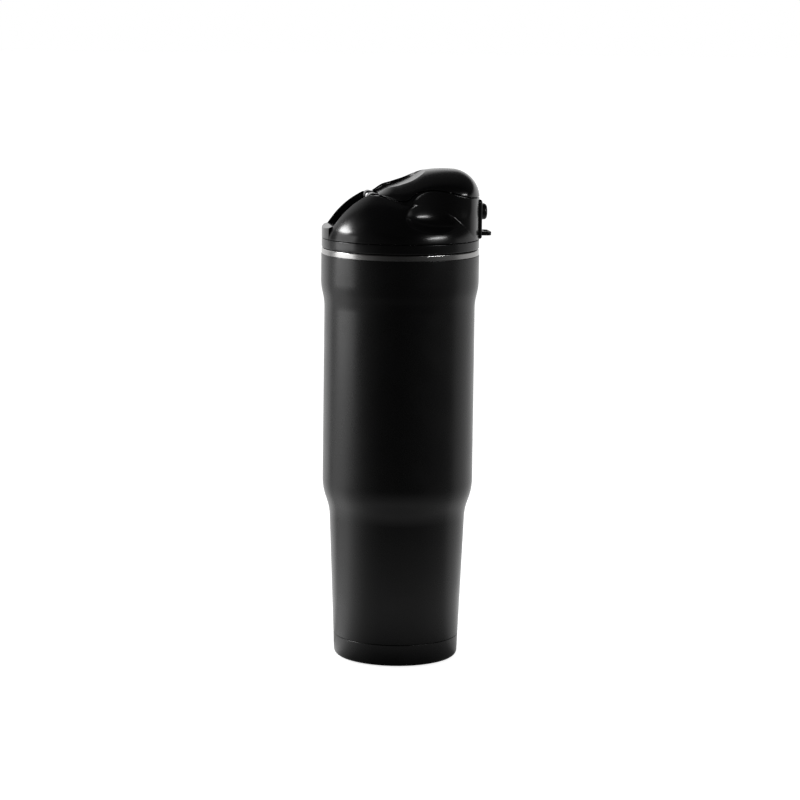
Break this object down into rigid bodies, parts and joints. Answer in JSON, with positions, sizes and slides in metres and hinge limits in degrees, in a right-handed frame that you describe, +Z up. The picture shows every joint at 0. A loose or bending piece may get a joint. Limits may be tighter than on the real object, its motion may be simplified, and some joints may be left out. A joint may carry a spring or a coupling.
{
  "type": "insulated travel mug",
  "caption": "Tall insulated steel travel mug with a narrow base for a cup holder, a screwed domed lid and a latched flip cover over the spout.",
  "frame": {"origin": "centre of the non-slip pad's lower face, on the floor under the cup's axis", "axes": "+Z up along the cup's axis, +X towards the push button, the lid's hinge and spout lie along X"},
  "size_m": [0.1024, 0.0956, 0.2995],
  "materials": {
    "black_coat": "satin powder coat",
    "steel": "fine brushed",
    "solder": "dull",
    "getter_steel": "dull",
    "pad_rubber": "matt",
    "lid_black": "satin moulded",
    "lid_gloss": "gloss moulded",
    "button_black": "satin moulded",
    "seal_silicone": "smooth silicone",
    "steel_wire": "drawn wire"
  },
  "bodies": {
    "cup": {"outer_shell": "black_coat", "inner_liner": "steel", "base_cap": "black_coat", "vacuum_plug": "solder", "getter": "getter_steel", "base_pad": "pad_rubber"},
    "gasket": {"lid_gasket": "seal_silicone"},
    "lid": {"lid_plug": "lid_black", "lid_body": "lid_gloss", "spout": "lid_black", "vent_tube": "lid_black", "hinge_pin": "steel_wire", "hinge_spring": "steel_wire", "button_spring": "steel_wire", "lock_pin": "steel_wire"},
    "cover": {"flip_cover": "lid_gloss", "cover_plate": "lid_black", "spout_seal": "seal_silicone", "vent_seal": "seal_silicone"},
    "button": {"push_button": "button_black", "latch": "lid_black"},
    "lock": {"lock_lever": "button_black"}
  },
  "joints": [
    {"name": "lid_lift", "type": "slide", "parent": "cup", "child": "gasket", "axis": [0, 0, 1], "range_m": [0, 0.05]},
    {"name": "lid_turn", "type": "hinge", "parent": "gasket", "child": "lid", "pos_m": [0, 0, 0.24], "axis": [0, 0, 1], "range_deg": [0, 450]},
    {"name": "cover_hinge", "type": "hinge", "parent": "lid", "child": "cover", "pos_m": [-0.0186, 0, 0.2823], "axis": [0, -1, 0], "range_deg": [0, 100]},
    {"name": "button_press", "type": "slide", "parent": "lid", "child": "button", "axis": [-1, 0, 0], "range_m": [0, 0.0022], "stiffness_N_per_m": 900, "deforming": ["button_spring"]},
    {"name": "lock_turn", "type": "hinge", "parent": "lid", "child": "lock", "pos_m": [0.0474, 0, 0.2606], "axis": [0, -1, 0], "range_deg": [0, 90]}
  ]
}
